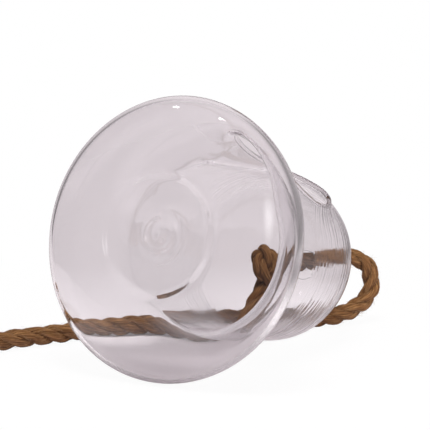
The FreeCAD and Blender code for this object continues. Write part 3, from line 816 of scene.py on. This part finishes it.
world = bpy.data.worlds.new("studio")
scene.world = world
world.use_nodes = True
tree = world.node_tree
tree.nodes.clear()
light_path = node(tree, "ShaderNodeLightPath")
bent = node(tree, "ShaderNodeMath", {"operation": "MAXIMUM"},
            i0=light_path.outputs["Is Transmission Ray"], i1=light_path.outputs["Is Glossy Ray"])
# White before the lens. Through and in the glass the pale room, dimmer behind the camera and to
# both sides, the right one more so where the glass mirrors it than where it is seen through.
place = node(tree, "ShaderNodeTexCoord")
part = node(tree, "ShaderNodeSeparateXYZ", Vector=place.outputs["Camera"])
ahead = node(tree, "ShaderNodeMapRange", {"interpolation_type": "SMOOTHSTEP"},
             Value=part.outputs["Z"],
             From_Min=-0.10, From_Max=0.72, To_Min=0.25, To_Max=1.0)
left = node(tree, "ShaderNodeMapRange", {"interpolation_type": "SMOOTHSTEP"},
            Value=part.outputs["X"],
            From_Min=-0.75, From_Max=-0.10, To_Min=0.30, To_Max=1.0)
right = node(tree, "ShaderNodeMapRange", {"interpolation_type": "SMOOTHSTEP"},
             Value=part.outputs["X"],
             From_Min=0.22, From_Max=0.60, To_Min=1.0, To_Max=0.55)
mirrored = node(tree, "ShaderNodeMapRange", {"interpolation_type": "SMOOTHSTEP"},
                Value=part.outputs["X"],
                From_Min=0.15, From_Max=0.50, To_Min=1.0, To_Max=0.42)
right_side = node(tree, "ShaderNodeMix", {"data_type": "FLOAT"},
                  i0=light_path.outputs["Is Glossy Ray"],
                  i2=right.outputs["Result"], i3=mirrored.outputs["Result"])
sides = node(tree, "ShaderNodeMath", {"operation": "MULTIPLY"},
             i0=left.outputs["Result"], i1=right_side.outputs[0])
level = node(tree, "ShaderNodeMath", {"operation": "MULTIPLY"},
             i0=ahead.outputs["Result"], i1=sides.outputs["Value"])
ambient = node(tree, "ShaderNodeBackground", Color=(1, 1, 1, 1), Strength=0.55)
room = node(tree, "ShaderNodeBackground", Color=ROOM, Strength=level.outputs["Value"])
backdrop = node(tree, "ShaderNodeBackground", Color=(1, 1, 1, 1), Strength=1.0)
inner_world = node(tree, "ShaderNodeMixShader", i0=bent.outputs["Value"],
                   i1=ambient.outputs["Background"], i2=room.outputs["Background"])
chosen = node(tree, "ShaderNodeMixShader", i0=light_path.outputs["Is Camera Ray"],
              i1=inner_world.outputs["Shader"], i2=backdrop.outputs["Background"])
node(tree, "ShaderNodeOutputWorld", Surface=chosen.outputs["Shader"])


def softbox(name, at, target, size, power, shown=False, soft=0.0):
    """A rectangular lamp that faces the target.

    Glass mirrors only a shown one, whose light fades from the soft share of its reach to its edge.
    """
    data = bpy.data.lights.new(name, "AREA")
    data.shape = "RECTANGLE"
    data.size, data.size_y = size
    data.energy = power
    lamp = bpy.data.objects.new(name, data)
    lamp.location = at
    lamp.rotation_euler = (Vector(target) - Vector(at)).to_track_quat("-Z", "Y").to_euler()
    lamp.visible_glossy = lamp.visible_transmission = shown
    if shown:
        data.use_nodes = True
        tree = data.node_tree
        tree.nodes.clear()
        spot = node(tree, "ShaderNodeNewGeometry")
        away = node(tree, "ShaderNodeVectorMath", {"operation": "SUBTRACT"},
                    i0=spot.outputs["Position"], i1=at)
        share = node(tree, "ShaderNodeVectorMath", {"operation": "MULTIPLY"},
                     i0=away.outputs["Vector"], i1=(2 / size[0], 2 / size[0], 2 / size[1]))
        reach = node(tree, "ShaderNodeVectorMath", {"operation": "LENGTH"},
                     i0=share.outputs["Vector"])
        fading = node(tree, "ShaderNodeMapRange", {"interpolation_type": "SMOOTHSTEP"},
                      Value=reach.outputs["Value"],
                      From_Min=soft, From_Max=1.0, To_Min=1.0, To_Max=0.0)
        glow = node(tree, "ShaderNodeEmission", Color=(1, 1, 1, 1),
                    Strength=fading.outputs["Result"])
        node(tree, "ShaderNodeOutputLight", Surface=glow.outputs["Emission"])
    scene.collection.objects.link(lamp)


softbox("key_overhead", (-0.30, -0.10, 1.05), (0.02, 0.02, 0.06), (0.36, 0.26), 9.0)
softbox("side_fill", (-0.10, -0.95, 0.40), (0.02, 0.0, 0.07), (0.3, 0.7), 4.0)

# Lamps mirrored in the glass: a tall soft light behind the camera and two small ones overhead.
softbox("tall_light", (-1.00, -0.140, 0.46), (-0.078, -0.062, 0.087), (0.17, 0.56), 0.95, True)
softbox("small_lamp_one", (-0.58, 0.62, 1.03), (-0.065, 0.0, 0.142), (0.05, 0.05), 0.12, True, 0.5)
softbox("small_lamp_two", (-0.755, 0.27, 1.07), (-0.066, -0.028, 0.137), (0.05, 0.05), 0.12, True, 0.5)

scene.view_settings.view_transform = "Standard"
